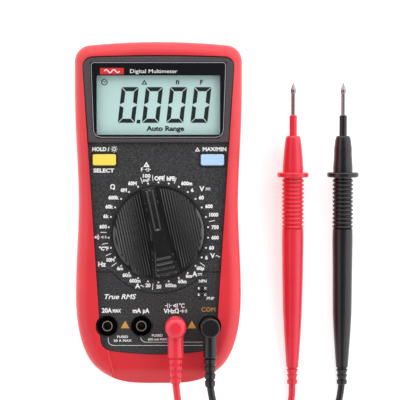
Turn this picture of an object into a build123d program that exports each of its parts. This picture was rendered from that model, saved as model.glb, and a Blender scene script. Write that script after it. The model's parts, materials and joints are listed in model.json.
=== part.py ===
from build123d import *
import math
import os

# Handheld digital multimeter lying on its back, with two test leads plugged in.
# Millimetres.  +X to the right of the display, +Y towards the display end, +Z out of the
# front face.  The origin is under the middle of the meter, on the surface it lies on.

# ---------------------------------------------------------------- case and boot
HEAD_Y = 89.7                   # ends of the boot
CHIN_Y = -88.7
CHIN_CREASE = (-82.2, 41.3)     # Y and Z of the soft crease across the chin
TOP_HALF_WIDTH = 43.7
WAIST_HALF_WIDTH = 41.6
BULGE_HALF_WIDTH = 43.1
BOOT_WALL = 3.0
BOOT_BACK = 2.0                 # thickness of the boot behind the case
BOOT_TOP = 44.5
BOOT_LIP = 38.7                 # underside of the boot's front lip
CASE_INSET = BOOT_WALL + 0.1
CASE_WALL = 2.2
SPLIT_Z = 22.0                  # joint between front and rear covers
SHOULDER_Z = 38.5               # front cover's shoulder under the boot's lip
PANEL_LOW_Z = 42.1              # panel around the jacks
PANEL_Z = 42.5                  # panel around the dial
DISPLAY_Z = 44.3                # raised panel around the display
PANEL_UNDER = PANEL_Z - CASE_WALL
BACK_Z = 0.8                    # visible back of the rear cover
DISPLAY_STEP_Y = 36.8
GROOVE_Y = -30.1                # step between dial panel and jack panel
GROOVE_WIDTH = 0.5
GROOVE_DEPTH = 0.5
BOOT_WINDOW = (64.0, 146.0)     # opening in the boot's back
BOOT_WINDOW_Y = 8.0

# ---------------------------------------------------------------- dial
DIAL_CENTRE = (0.0, -9.8)
DIAL_RING_R = 31.4
KNOB_R = 24.3
KNOB_BASE = PANEL_Z + 0.4
KNOB_SKIRT = 47.2
KNOB_TOP = 54.6
KNOB_TURN = 12.0                # pointer's rest angle, anticlockwise of +Y
SHAFT_R = 9.0
RUNNING_FIT = 0.08
POSITIONS = 30

# ---------------------------------------------------------------- display
GLASS_HALF_WIDTH = 32.0
GLASS_LOW_Y = 40.9
GLASS_HIGH_Y = 71.7
GLASS_MID_Y = (GLASS_LOW_Y + GLASS_HIGH_Y) / 2
GLASS_HEIGHT = GLASS_HIGH_Y - GLASS_LOW_Y

# ---------------------------------------------------------------- board
BOARD_LOW = 22.6
BOARD_TOP = 24.2

# ---------------------------------------------------------------- keys
KEY_Y = 27.9
KEY_X = 28.1
KEY_SIZE = (12.1, 5.8)
KEY_TOP = 43.8
KEY_GAP = 0.3
KEY_FLANGE = 1.2                # how much wider the key is under the panel

# ---------------------------------------------------------------- jacks
JACK_Y = -58.5
JACK_X = {"20a": -26.55, "ma": -8.85, "vohm": 8.85, "com": 26.55}
JACK_BORE_R = 2.0
SLEEVE_R = 2.4
TUBE_R = 2.85                   # insulating tube round the sleeve
RECESS_R = 5.3
JACK_R = 5.8
JACK_MOUTH = 42.7
SLEEVE_TOP = 36.5
PIN_R = 1.94
PIN_TOP = 49.6

# ---------------------------------------------------------------- screws, fuses, battery
CASE_SCREWS = [(32, 80), (-32, 80), (27, -74), (-27, -74)]
BOARD_SCREWS = [(33.5, 15), (-33.5, 15), (34, -40), (-34, -40)]
SOCKET_POINT = (22.7, -40.5)
BUZZER_POINT = (10.0, -59.6)
BATTERY = (48.5, 26.5, 17.5)
BATTERY_POINT = (0.0, 59.5)
DOOR = (55.4, 37.0)
DOOR_POINT = (0.0, 57.25)
DOOR_SCREW = (0.0, 41.8)
FUSE_Y = {"fuse_20a": -34.0, "fuse_ma": -45.0}

# ---------------------------------------------------------------- tilt stand
STAND_HALF_WIDTH = 22.6
STAND_HINGE = (30.0, 3.2)       # Y and Z of the hinge line
STAND_END_Y = -39.5
STAND_PIN_R = 1.5
SCOOP_DEPTH = 2.2

# ---------------------------------------------------------------- leads
CORD_R = 1.85
PLUG_Z = 52.0                   # height of the plug's barrel and of the cord's exit
COIL_R = (26.8, 16.2)           # outermost and innermost turn
COIL_LIFT = 0.6                 # the tie's thickness under the coil
COIL_HEIGHT = 4 * CORD_R
PROBE_LENGTH = 163.6
TAIL_Y = -92.8                  # end of the probes' strain reliefs


def save(piece, name):
    """Label a finished piece and write its STEP file."""
    piece.part.label = name
    export_step(piece.part, f"parts/{name}.step")


def case_outline(inset, z):
    """Plan outline of the boot, drawn in by inset, as a face at height z."""

    def edge_point(side, x, y, facing):
        """Outline point moved inwards along its outward normal, facing degrees from +X."""
        normal = Vector(1, 0, 0).rotate(Axis.Z, facing)
        return (side * (x - inset * normal.X), y - inset * normal.Y)

    with BuildSketch(Plane.XY.offset(z)) as sketch:
        with BuildLine():
            for side in (1, -1):
                crown = edge_point(side, 0, HEAD_Y, 90)
                top = edge_point(side, 36.5, HEAD_Y - 1.8, 85)
                shoulder = edge_point(side, TOP_HALF_WIDTH, 80, 0)
                ThreePointArc(crown, edge_point(side, 18.3, HEAD_Y - 0.45, 87.5), top)
                ThreePointArc(top, edge_point(side, 41.6, 85.1, 42), shoulder)
                Spline(
                    shoulder,
                    edge_point(side, 43.2, 45, -1.5),
                    edge_point(side, WAIST_HALF_WIDTH, 6, 0.5),
                    edge_point(side, BULGE_HALF_WIDTH, -38, -1),
                    edge_point(side, 40.3, -66, -15),
                    edge_point(side, 33.8, -79, -41),
                    edge_point(side, 20, -87.2, -72),
                    edge_point(side, 0, CHIN_Y, -90),
                    tangents=[(0, -1), (-side, 0)],
                )
        make_face()
    return sketch.sketch


def panel_outline(grow, z):
    """Outline of the black front panel, with the outer jacks' round bosses, grown by grow."""
    top_y = 81.2
    low_y = -70.5
    with BuildSketch(Plane.XY.offset(z)) as sketch:
        with BuildLine():
            ThreePointArc((-39.6, top_y), (0, top_y + 1.0), (39.6, top_y))
            Line((39.6, top_y), (29.6, low_y))
            ThreePointArc((29.6, low_y), (0, low_y - 2.7), (-29.6, low_y))
            Line((-29.6, low_y), (-39.6, top_y))
        make_face()
        fillet(sketch.vertices().group_by(Axis.Y)[-1], radius=5)
        fillet(sketch.vertices().group_by(Axis.Y)[0], radius=6)
        with Locations((JACK_X["20a"], JACK_Y), (JACK_X["com"], JACK_Y)):
            Circle(JACK_R + 0.1)
        if grow:
            offset(amount=grow)
    return sketch.sketch


# ================================================================ boot
# Space of the scooped chin, between the boot's raised side walls.
with BuildPart() as chin_scoop:
    with BuildSketch(Plane.YZ) as scoop_profile:
        with BuildLine():
            Polyline((-64, 52), (-64, 42.4), (-72, 41.9), CHIN_CREASE, (-94, 32.5), (-94, 52), close=True)
        make_face()
        fillet(scoop_profile.vertices().sort_by_distance((*CHIN_CREASE, 0))[0], radius=7)
    extrude(amount=30, both=True)
    with BuildSketch(Plane.XY.offset(30)):
        with BuildLine():
            Polyline((0, -64), (28.2, -64), (27.4, -71), (24.4, -83), (23, -94), (0, -94))
            mirror(about=Plane.YZ)
        make_face()
    extrude(amount=25, mode=Mode.INTERSECT)
    low_edges = chin_scoop.edges().filter_by(lambda edge: edge.center().Z < 44)
    fillet(low_edges.filter_by(lambda edge: abs(edge.center().X) > 20), radius=1.6)

with BuildPart() as holster:
    extrude(case_outline(0, 0), amount=BOOT_TOP)
    fillet(holster.faces().sort_by(Axis.Z)[-1].edges(), radius=7)
    fillet(holster.faces().sort_by(Axis.Z)[0].edges(), radius=3.5)
    extrude(case_outline(BOOT_WALL, BOOT_BACK), amount=BOOT_LIP - BOOT_BACK, mode=Mode.SUBTRACT)
    extrude(panel_outline(0.15, BOOT_LIP), amount=10, mode=Mode.SUBTRACT)
    with BuildSketch(Plane.XY):
        with Locations((0, BOOT_WINDOW_Y)):
            RectangleRounded(*BOOT_WINDOW, radius=8)
    extrude(amount=BOOT_BACK, mode=Mode.SUBTRACT)
    add(chin_scoop.part, mode=Mode.SUBTRACT)
save(holster, "holster")

# ================================================================ front cover
with BuildPart() as front_cover:
    extrude(case_outline(CASE_INSET, SPLIT_Z), amount=SHOULDER_Z - SPLIT_Z)
    extrude(panel_outline(0, SHOULDER_Z), amount=PANEL_LOW_Z - SHOULDER_Z)
    # Dial panel, a little higher than the jack panel.
    with BuildSketch(Plane.XY.offset(PANEL_LOW_Z)):
        with Locations((0, (GROOVE_Y + HEAD_Y) / 2)):
            Rectangle(90, HEAD_Y - GROOVE_Y)
        with Locations(DIAL_CENTRE):
            Circle(DIAL_RING_R)
        add(panel_outline(0, 0), mode=Mode.INTERSECT)
    extrude(amount=PANEL_Z - PANEL_LOW_Z)
    # Fine groove along the dial panel's lower edge.
    with BuildSketch(Plane.XY.offset(PANEL_LOW_Z - GROOVE_DEPTH)):
        with Locations((0, GROOVE_Y)):
            Rectangle(90, 2 * GROOVE_WIDTH)
        with Locations(DIAL_CENTRE):
            Circle(DIAL_RING_R + GROOVE_WIDTH)
            Circle(DIAL_RING_R, mode=Mode.SUBTRACT)
        with Locations((0, (GROOVE_Y + HEAD_Y) / 2)):
            Rectangle(90, HEAD_Y - GROOVE_Y, mode=Mode.SUBTRACT)
        add(panel_outline(0, 0), mode=Mode.INTERSECT)
    extrude(amount=5, mode=Mode.SUBTRACT)
    # Raised panel round the display.
    with BuildSketch(Plane.XY.offset(PANEL_Z)):
        with Locations((0, (DISPLAY_STEP_Y + HEAD_Y) / 2)):
            Rectangle(90, HEAD_Y - DISPLAY_STEP_Y)
        add(panel_outline(0, 0), mode=Mode.INTERSECT)
    extrude(amount=DISPLAY_Z - PANEL_Z)
    chamfer(front_cover.faces().sort_by(Axis.Z)[-1].edges(), length=0.5)
    # Hollow inside.
    extrude(
        case_outline(CASE_INSET + CASE_WALL, SPLIT_Z),
        amount=SHOULDER_Z - CASE_WALL - SPLIT_Z,
        mode=Mode.SUBTRACT,
    )
    extrude(
        panel_outline(-CASE_WALL, SHOULDER_Z - CASE_WALL),
        amount=PANEL_UNDER - SHOULDER_Z + CASE_WALL,
        mode=Mode.SUBTRACT,
    )
    # Seat for the window frame, and the opening for the lens and display.
    with BuildSketch(Plane.XY.offset(DISPLAY_Z - 1.2)):
        with BuildLine():
            Polyline((0, 78.9), (35.5, 78.9), (34.2, 43), (31.6, 39), (0, 39))
            mirror(about=Plane.YZ)
        make_face()
    extrude(amount=5, mode=Mode.SUBTRACT)
    with BuildSketch(Plane.XY.offset(30)):
        with Locations((0, GLASS_MID_Y)):
            Rectangle(2 * GLASS_HALF_WIDTH + 3, GLASS_HEIGHT + 2.2)
    extrude(amount=20, mode=Mode.SUBTRACT)
    # Screw bosses for the case, passing the board, and for the board.
    with BuildSketch(Plane.XY.offset(SPLIT_Z)):
        with Locations(*CASE_SCREWS):
            Circle(3.4)
    extrude(amount=SHOULDER_Z - 1 - SPLIT_Z)
    with BuildSketch(Plane.XY.offset(BOARD_TOP)):
        with Locations(*BOARD_SCREWS):
            Circle(2.4)
    extrude(amount=SHOULDER_Z - 1 - BOARD_TOP)
    # Shaft guide and the detent track with one notch for each position.
    with BuildSketch(Plane.XY.offset(38)):
        with Locations(DIAL_CENTRE):
            Circle(SHAFT_R + 2.2)
    extrude(amount=PANEL_UNDER - 38)
    with BuildSketch(Plane.XY.offset(37.3)):
        with Locations(DIAL_CENTRE):
            Circle(20.6)
            Circle(17.4, mode=Mode.SUBTRACT)
    extrude(amount=PANEL_UNDER - 37.3)
    with BuildSketch(Plane.XY.offset(37.3)):
        with Locations(DIAL_CENTRE):
            with PolarLocations(19, POSITIONS):
                Circle(1.1)
    extrude(amount=0.8, mode=Mode.SUBTRACT)
    # Holes for the shaft, jacks, transistor socket, keys and screws.
    with BuildSketch(Plane.XY.offset(30)):
        with Locations(DIAL_CENTRE):
            Circle(SHAFT_R + RUNNING_FIT)
        with Locations(*[(x, JACK_Y) for x in JACK_X.values()]):
            Circle(JACK_R)
        with Locations(SOCKET_POINT):
            Circle(3.6)
        with Locations((KEY_X, KEY_Y), (-KEY_X, KEY_Y)):
            RectangleRounded(KEY_SIZE[0] + 2 * KEY_GAP, KEY_SIZE[1] + 2 * KEY_GAP, radius=1.2)
    extrude(amount=20, mode=Mode.SUBTRACT)
    with BuildSketch(Plane.XY.offset(30)):
        with Locations((KEY_X, KEY_Y), (-KEY_X, KEY_Y)):
            Rectangle(KEY_SIZE[0] + KEY_FLANGE + 2 * KEY_GAP, KEY_SIZE[1] + KEY_FLANGE + 2 * KEY_GAP)
    extrude(amount=PANEL_UNDER - 30, mode=Mode.SUBTRACT)
    with BuildSketch(Plane.XY.offset(PANEL_Z - 0.5)):
        with Locations((KEY_X, KEY_Y), (-KEY_X, KEY_Y)):
            RectangleRounded(KEY_SIZE[0] + 2.4, KEY_SIZE[1] + 2.2, radius=1.6)
    extrude(amount=2, mode=Mode.SUBTRACT)
    with BuildSketch(Plane.XY.offset(SPLIT_Z)):
        with Locations(*CASE_SCREWS):
            Circle(1.45)
    extrude(amount=11, mode=Mode.SUBTRACT)
    with BuildSketch(Plane.XY.offset(BOARD_TOP)):
        with Locations(*BOARD_SCREWS):
            Circle(1.05)
    extrude(amount=7, mode=Mode.SUBTRACT)
save(front_cover, "front_cover")

# ================================================================ rear cover
FLOOR_Z = BOOT_BACK + 0.1
with BuildPart() as rear_cover:
    extrude(case_outline(CASE_INSET, FLOOR_Z), amount=SPLIT_Z - FLOOR_Z)
    with BuildSketch(Plane.XY.offset(BACK_Z)):
        with Locations((0, BOOT_WINDOW_Y)):
            RectangleRounded(BOOT_WINDOW[0] - 0.4, BOOT_WINDOW[1] - 0.4, radius=7.8)
    extrude(amount=FLOOR_Z - BACK_Z)
    extrude(
        case_outline(CASE_INSET + CASE_WALL, FLOOR_Z + CASE_WALL),
        amount=SPLIT_Z - FLOOR_Z - CASE_WALL,
        mode=Mode.SUBTRACT,
    )
    # Thicker floor that holds the tilt stand's recess and hinge sockets.
    with BuildSketch(Plane.XY.offset(FLOOR_Z)):
        with Locations((0, -5)):
            Rectangle(56, 81)
    extrude(amount=5.5)
    with BuildSketch(Plane.XY.offset(BACK_Z)):
        with Locations((0, -4)):
            RectangleRounded(2 * STAND_HALF_WIDTH + 0.8, 75, radius=3)
    extrude(amount=4.8, mode=Mode.SUBTRACT)
    # Finger scoop at the stand's free end, shallow enough to leave a floor.
    with BuildSketch(Plane.XY.offset(BACK_Z)):
        with Locations((0, -43)):
            Circle(8)
    extrude(amount=SCOOP_DEPTH, mode=Mode.SUBTRACT)
    with BuildSketch(Plane.YZ):
        with Locations(STAND_HINGE):
            Circle(STAND_PIN_R + RUNNING_FIT)
    extrude(amount=25.6, both=True, mode=Mode.SUBTRACT)
    # Battery bay: a seat for the door and the opening behind it.
    with BuildSketch(Plane.XY.offset(BACK_Z)):
        with Locations(DOOR_POINT):
            RectangleRounded(DOOR[0] + 0.6, DOOR[1] + 0.6, radius=2.3)
    extrude(amount=2.2, mode=Mode.SUBTRACT)
    with BuildSketch(Plane.XY.offset(BACK_Z + 2.2)):
        with Locations(BATTERY_POINT):
            Rectangle(56, 33)
    extrude(amount=17.6)
    with BuildSketch(Plane.XY.offset(BACK_Z)):
        with Locations(BATTERY_POINT):
            Rectangle(52, 29)
    extrude(amount=21, mode=Mode.SUBTRACT)
    # Bosses for the case screws and for the door's screw.
    with BuildSketch(Plane.XY.offset(FLOOR_Z)):
        with Locations(*CASE_SCREWS):
            Circle(4.2)
    extrude(amount=SPLIT_Z - FLOOR_Z)
    with BuildSketch(Plane.XY.offset(FLOOR_Z)):
        with Locations(*CASE_SCREWS):
            Circle(1.6)
    extrude(amount=SPLIT_Z - FLOOR_Z, mode=Mode.SUBTRACT)
    with BuildSketch(Plane.XY.offset(FLOOR_Z)):
        with Locations(*CASE_SCREWS):
            Circle(2.9)
    extrude(amount=3.4, mode=Mode.SUBTRACT)
    with BuildSketch(Plane.XY.offset(BACK_Z + 2.2)):
        with Locations(DOOR_SCREW):
            Circle(2.8)
    extrude(amount=9)
    with BuildSketch(Plane.XY.offset(BACK_Z + 2.2)):
        with Locations(DOOR_SCREW):
            Circle(1.5)
    extrude(amount=8, mode=Mode.SUBTRACT)
save(rear_cover, "rear_cover")

# ================================================================ battery door and battery
with BuildPart() as battery_door:
    with BuildSketch(Plane.XY.offset(BACK_Z)):
        with Locations(DOOR_POINT):
            RectangleRounded(*DOOR, radius=2)
    extrude(amount=2.0)
    fillet(battery_door.faces().sort_by(Axis.Z)[0].edges(), radius=0.5)
    # Grip ridges, cut as shallow grooves across the door's upper end.
    with BuildSketch(Plane.XY.offset(BACK_Z)):
        with Locations((0, 68)):
            with GridLocations(0, 2.4, 1, 4):
                Rectangle(26, 1.1)
    extrude(amount=0.5, mode=Mode.SUBTRACT)
    with BuildSketch(Plane.XY.offset(BACK_Z)):
        with Locations(DOOR_SCREW):
            Circle(1.5)
    extrude(amount=2.0, mode=Mode.SUBTRACT)
    with BuildSketch(Plane.XY.offset(BACK_Z)):
        with Locations(DOOR_SCREW):
            Circle(2.7)
    extrude(amount=0.9, mode=Mode.SUBTRACT)
save(battery_door, "battery_door")


def screw(points, head_z, head_r, head_h, shaft_r, length):
    """Pan-head cross-slot screws, heads down, at the given points, as one group."""
    with BuildPart() as screws:
        with BuildSketch(Plane.XY.offset(head_z)):
            with Locations(*points):
                Circle(head_r)
        extrude(amount=head_h)
        with BuildSketch(Plane.XY.offset(head_z)):
            with Locations(*points):
                Circle(shaft_r)
        extrude(amount=length)
        with BuildSketch(Plane.XY.offset(head_z)):
            with Locations(*points):
                Rectangle(1.2 * head_r, 0.3 * head_r)
                Rectangle(0.3 * head_r, 1.2 * head_r)
        extrude(amount=0.5 * head_h, mode=Mode.SUBTRACT)
    return screws


save(screw([DOOR_SCREW], BACK_Z + 0.1, 2.5, 0.8, 1.4, 9.0), "battery_door_screw")
save(screw(CASE_SCREWS, FLOOR_Z + 1.6, 2.8, 1.8, 1.4, 26.0), "case_screws")
save(screw(BOARD_SCREWS, BOARD_LOW - 1.4, 1.9, 1.4, 1.0, 7.5), "board_screws")

with BuildPart() as battery:
    with BuildSketch(Plane.XY.offset(3.6)):
        with Locations(BATTERY_POINT):
            RectangleRounded(BATTERY[0], BATTERY[1], radius=1.5)
    extrude(amount=BATTERY[2])
    fillet(battery.edges().group_by(Axis.Z)[0] + battery.edges().group_by(Axis.Z)[-1], radius=0.8)
save(battery, "battery")

with BuildPart() as battery_contacts:
    with BuildSketch(Plane.YZ.offset(24.35)):
        with Locations((BATTERY_POINT[1], 12.4)):
            with GridLocations(12.7, 0, 2, 1):
                RectangleRounded(7.5, 9, radius=1)
    extrude(amount=0.5)
    with BuildSketch(Plane.YZ.offset(24.85)):
        with Locations((BATTERY_POINT[1], 12.4)):
            with GridLocations(12.7, 0, 2, 1):
                Rectangle(3, 4)
    extrude(amount=0.9)
save(battery_contacts, "battery_contacts")

# ================================================================ tilt stand
with BuildPart() as tilt_stand:
    stand_length = STAND_HINGE[0] - STAND_END_Y
    with BuildSketch(Plane.XY.offset(1.1)):
        with Locations((0, STAND_END_Y + stand_length / 2)):
            Rectangle(2 * STAND_HALF_WIDTH, stand_length)
    extrude(amount=2.7)
    fillet(tilt_stand.edges().filter_by(Axis.Z).group_by(Axis.Y)[0], radius=6)
    with BuildSketch(Plane.XY.offset(1.1)):
        with Locations((0, -1)):
            RectangleRounded(27, 40, radius=4)
    extrude(amount=1.2, mode=Mode.SUBTRACT)
    with BuildSketch(Plane.YZ):
        with Locations(STAND_HINGE):
            Circle(2.0)
    extrude(amount=STAND_HALF_WIDTH, both=True)
    with BuildSketch(Plane.YZ):
        with Locations(STAND_HINGE):
            Circle(STAND_PIN_R)
    extrude(amount=25.3, both=True)
save(tilt_stand, "tilt_stand")

# ================================================================ display stack
with BuildPart() as window_frame:
    with BuildSketch(Plane.XY.offset(DISPLAY_Z - 1.2)):
        with BuildLine():
            Polyline((0, 78.8), (35.4, 78.8), (34.1, 43), (31.5, 39.1), (0, 39.1))
            mirror(about=Plane.YZ)
        make_face()
    extrude(amount=1.6)
    fillet(window_frame.faces().sort_by(Axis.Z)[-1].edges(), radius=0.35)
    with BuildSketch(Plane.XY.offset(DISPLAY_Z - 1.2)):
        with Locations((0, GLASS_MID_Y)):
            RectangleRounded(2 * GLASS_HALF_WIDTH, GLASS_HEIGHT, radius=0.8)
    extrude(amount=1.6, mode=Mode.SUBTRACT)
save(window_frame, "window_frame")

with BuildPart() as window_lens:
    with BuildSketch(Plane.XY.offset(41.9)):
        with Locations((0, GLASS_MID_Y)):
            Rectangle(2 * GLASS_HALF_WIDTH + 2.6, GLASS_HEIGHT + 1.8)
    extrude(amount=DISPLAY_Z - 1.2 - 41.9)
save(window_lens, "window_lens")

with BuildPart() as lcd_glass:
    with BuildSketch(Plane.XY.offset(39.4)):
        with Locations((0, GLASS_MID_Y)):
            Rectangle(2 * GLASS_HALF_WIDTH + 2.4, GLASS_HEIGHT + 1.6)
    extrude(amount=2.3)
save(lcd_glass, "lcd_glass")

with BuildPart() as backlight_panel:
    with BuildSketch(Plane.XY.offset(36.9)):
        with Locations((0, GLASS_MID_Y + 1.4)):
            Rectangle(2 * GLASS_HALF_WIDTH + 2.4, GLASS_HEIGHT - 1.4)
    extrude(amount=2.4)
save(backlight_panel, "backlight_panel")

with BuildPart() as lcd_holder:
    with BuildSketch(Plane.XY.offset(BOARD_TOP)):
        with Locations((0, GLASS_MID_Y)):
            Rectangle(68.6, 36)
            Rectangle(66.8, 32.8, mode=Mode.SUBTRACT)
    extrude(amount=40.2 - BOARD_TOP)
    with BuildSketch(Plane.XY.offset(35.4)):
        with Locations((0, GLASS_MID_Y + 1.6)):
            Rectangle(67.4, 30.6)
    extrude(amount=1.4)
save(lcd_holder, "lcd_holder")

with BuildPart() as zebra_strip:
    with BuildSketch(Plane.XY.offset(BOARD_TOP)):
        with Locations((0, GLASS_LOW_Y + 0.7)):
            Rectangle(60, 2)
    extrude(amount=39.4 - BOARD_TOP)
save(zebra_strip, "zebra_strip")

# ================================================================ circuit board and its parts
with BuildPart() as main_board:
    extrude(case_outline(CASE_INSET + CASE_WALL + 0.6, BOARD_LOW), amount=BOARD_TOP - BOARD_LOW)
    with BuildSketch(Plane.XY.offset(BOARD_LOW)):
        with Locations(*CASE_SCREWS):
            Circle(3.9)
        with Locations(*BOARD_SCREWS):
            Circle(1.1)
    extrude(amount=BOARD_TOP - BOARD_LOW, mode=Mode.SUBTRACT)
save(main_board, "main_board")

with BuildPart() as main_chip:
    with BuildSketch(Plane.XY.offset(BOARD_LOW - 1.7)):
        with Locations((4, 12)):
            Rectangle(14, 14)
    extrude(amount=1.5)
    chamfer(main_chip.edges().group_by(Axis.Z)[0], length=0.3)
    with BuildSketch(Plane.XY.offset(BOARD_LOW - 0.3)):
        with Locations((4, 12)):
            with GridLocations(1.6, 0, 8, 1):
                Rectangle(0.6, 16.6)
            with GridLocations(0, 1.6, 1, 8):
                Rectangle(16.6, 0.6)
    extrude(amount=0.3)
save(main_chip, "main_chip")

with BuildPart() as capacitors:
    with BuildSketch(Plane.XY.offset(BOARD_LOW - 9)):
        with Locations((-22, 20), (-22, 8), (24, 22)):
            Circle(3.2)
    extrude(amount=9)
    fillet(capacitors.edges().group_by(Axis.Z)[0], radius=0.5)
save(capacitors, "capacitors")

with BuildPart() as input_protectors:
    with BuildSketch(Plane.XZ.offset(14)):
        with Locations((10, BOARD_LOW - 5.4), (24, BOARD_LOW - 5.4)):
            Circle(5)
    extrude(amount=3.4)
    with BuildSketch(Plane.XY.offset(BOARD_LOW - 1)):
        with Locations((10, -15.7), (24, -15.7)):
            Rectangle(5, 1)
    extrude(amount=1)
save(input_protectors, "input_protectors")

with BuildPart() as crystal:
    with BuildSketch(Plane.XY.offset(BOARD_LOW - 3.6)):
        with Locations((20, 8)):
            SlotOverall(10.5, 4)
    extrude(amount=3.6)
    fillet(crystal.edges().group_by(Axis.Z)[0], radius=0.6)
save(crystal, "crystal")

with BuildPart() as tact_switches:
    key_points = [(KEY_X, KEY_Y), (-KEY_X, KEY_Y)]
    with BuildSketch(Plane.XY.offset(BOARD_TOP)):
        with Locations(*key_points):
            Rectangle(6, 6)
    extrude(amount=3.8)
    with BuildSketch(Plane.XY.offset(BOARD_TOP + 3.8)):
        with Locations(*key_points):
            Circle(1.75)
    extrude(amount=36.7 - BOARD_TOP - 3.8)
save(tact_switches, "tact_switches")

with BuildPart() as transistor_socket:
    with BuildSketch(Plane.XY.offset(BOARD_TOP)):
        with Locations(SOCKET_POINT):
            Circle(3.5)
    extrude(amount=JACK_MOUTH - BOARD_TOP)
    with BuildSketch(Plane.XY.offset(JACK_MOUTH - 3)):
        with Locations(SOCKET_POINT):
            with GridLocations(1.35, 0, 4, 1):
                Circle(0.45)
            with GridLocations(0, 1.35, 1, 4):
                Circle(0.45)
    extrude(amount=3, mode=Mode.SUBTRACT)
save(transistor_socket, "transistor_socket")

with BuildPart() as current_shunt:
    with BuildLine():
        FilletPolyline(
            (-24, -67, BOARD_LOW),
            (-24, -67, 13),
            (-6, -67, 13),
            (-6, -67, BOARD_LOW),
            radius=2.5,
        )
    with BuildSketch(Plane.XY.offset(BOARD_LOW)):
        with Locations((-24, -67)):
            Circle(0.9)
    sweep()
save(current_shunt, "current_shunt")

for fuse_name, fuse_y in FUSE_Y.items():
    with BuildPart() as fuse:
        with BuildSketch(Plane.YZ.offset(-28)):
            with Locations((fuse_y, 16)):
                Circle(3.2)
        extrude(amount=32)
        with BuildSketch(Plane.YZ.offset(-22)):
            with Locations((fuse_y, 16)):
                Circle(3.3)
                Circle(3.0, mode=Mode.SUBTRACT)
        extrude(amount=20, mode=Mode.SUBTRACT)
    save(fuse, fuse_name)

with BuildPart() as fuse_clips:
    for fuse_y in FUSE_Y.values():
        for clip_x in (-27.5, -1.5):
            with BuildSketch(Plane.YZ.offset(clip_x)):
                with Locations((fuse_y, 17.5)):
                    Rectangle(7.6, 2 * (BOARD_LOW - 17.5))
                with Locations((fuse_y, 16)):
                    Circle(3.25, mode=Mode.SUBTRACT)
                with Locations((fuse_y, 13)):
                    Rectangle(5, 4, mode=Mode.SUBTRACT)
            extrude(amount=5)
save(fuse_clips, "fuse_clips")

with BuildPart() as buzzer:
    with BuildSketch(Plane.XY.offset(FLOOR_Z + CASE_WALL)):
        with Locations(BUZZER_POINT):
            Circle(13.5)
    extrude(amount=0.6)
    with BuildSketch(Plane.XY.offset(FLOOR_Z + CASE_WALL + 0.6)):
        with Locations(BUZZER_POINT):
            Circle(9.5)
    extrude(amount=0.4)
save(buzzer, "buzzer")

# ================================================================ input jacks
with BuildPart() as jack_insulators:
    jack_points = [(x, JACK_Y) for x in JACK_X.values()]
    with BuildSketch(Plane.XY.offset(BOARD_TOP)):
        with Locations(*jack_points):
            Circle(JACK_R - 0.05)
    extrude(amount=JACK_MOUTH - BOARD_TOP)
    with BuildSketch(Plane.XY.offset(BOARD_TOP + 1.2)):
        with Locations(*jack_points):
            Circle(RECESS_R)
            Circle(TUBE_R, mode=Mode.SUBTRACT)
    extrude(amount=30, mode=Mode.SUBTRACT)
    with BuildSketch(Plane.XY.offset(BOARD_TOP)):
        with Locations(*jack_points):
            Circle(SLEEVE_R + 0.02)
    extrude(amount=30, mode=Mode.SUBTRACT)
    chamfer(jack_insulators.edges().group_by(Axis.Z)[-1].filter_by(GeomType.CIRCLE), length=0.2)
save(jack_insulators, "jack_insulators")

for jack_name, jack_x in JACK_X.items():
    with BuildPart() as jack_sleeve:
        with BuildSketch(Plane.XY.offset(BOARD_TOP)):
            with Locations((jack_x, JACK_Y)):
                Circle(SLEEVE_R)
        extrude(amount=SLEEVE_TOP - BOARD_TOP)
        with BuildSketch(Plane.XY.offset(BOARD_TOP + 0.8)):
            with Locations((jack_x, JACK_Y)):
                Circle(JACK_BORE_R)
        extrude(amount=30, mode=Mode.SUBTRACT)
    save(jack_sleeve, f"jack_sleeve_{jack_name}")

# ================================================================ selector
DIAL_PLANE = Plane(origin=(DIAL_CENTRE[0], DIAL_CENTRE[1], 0)).rotated((0, 0, KNOB_TURN))
with BuildPart() as selector_knob:
    with BuildSketch(DIAL_PLANE.offset(KNOB_BASE)):
        Circle(KNOB_R)
    extrude(amount=KNOB_SKIRT - KNOB_BASE)
    fillet(selector_knob.faces().sort_by(Axis.Z)[-1].edges(), radius=1.5)
    # Grip bar: narrow at the pointer, wide at the other end.
    with BuildSketch(DIAL_PLANE.offset(KNOB_SKIRT - 0.5)) as grip:
        with BuildLine():
            Polyline((3.2, 22.2), (6.9, -21.5), (-6.9, -21.5), (-3.2, 22.2), close=True)
        make_face()
        fillet(grip.vertices(), radius=2)
    extrude(amount=KNOB_TOP - KNOB_SKIRT + 0.5)
    fillet(selector_knob.faces().sort_by(Axis.Z)[-1].edges(), radius=1.2)
    # Pointer line sunk in the bar.
    with BuildSketch(DIAL_PLANE.offset(KNOB_TOP - 0.6)):
        with Locations((0, 11.5)):
            Rectangle(1.6, 19)
    extrude(amount=2, mode=Mode.SUBTRACT)
    with BuildSketch(DIAL_PLANE.offset(35)):
        Circle(SHAFT_R)
    extrude(amount=KNOB_BASE - 35)
    with BuildSketch(DIAL_PLANE.offset(35)):
        Circle(5)
    extrude(amount=6.1, mode=Mode.SUBTRACT)
save(selector_knob, "selector_knob")

with BuildPart() as selector_rotor:
    with BuildSketch(DIAL_PLANE.offset(31)):
        Circle(21.5)
    extrude(amount=4)
    with BuildSketch(DIAL_PLANE.offset(35)):
        Circle(5)
    extrude(amount=6)
    with BuildSketch(DIAL_PLANE.offset(32.2)):
        with PolarLocations(19, 2):
            Circle(1.45)
    extrude(amount=5, mode=Mode.SUBTRACT)
save(selector_rotor, "selector_rotor")

with BuildPart() as detent_balls:
    with Locations(DIAL_PLANE.offset(35.6)):
        with PolarLocations(19, 2):
            Sphere(1.4)
save(detent_balls, "detent_balls")

with BuildPart() as detent_springs:
    with BuildSketch(DIAL_PLANE.offset(32.2)):
        with PolarLocations(19, 2):
            Circle(1.3)
            Circle(0.9, mode=Mode.SUBTRACT)
    extrude(amount=2)
save(detent_springs, "detent_springs")

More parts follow.
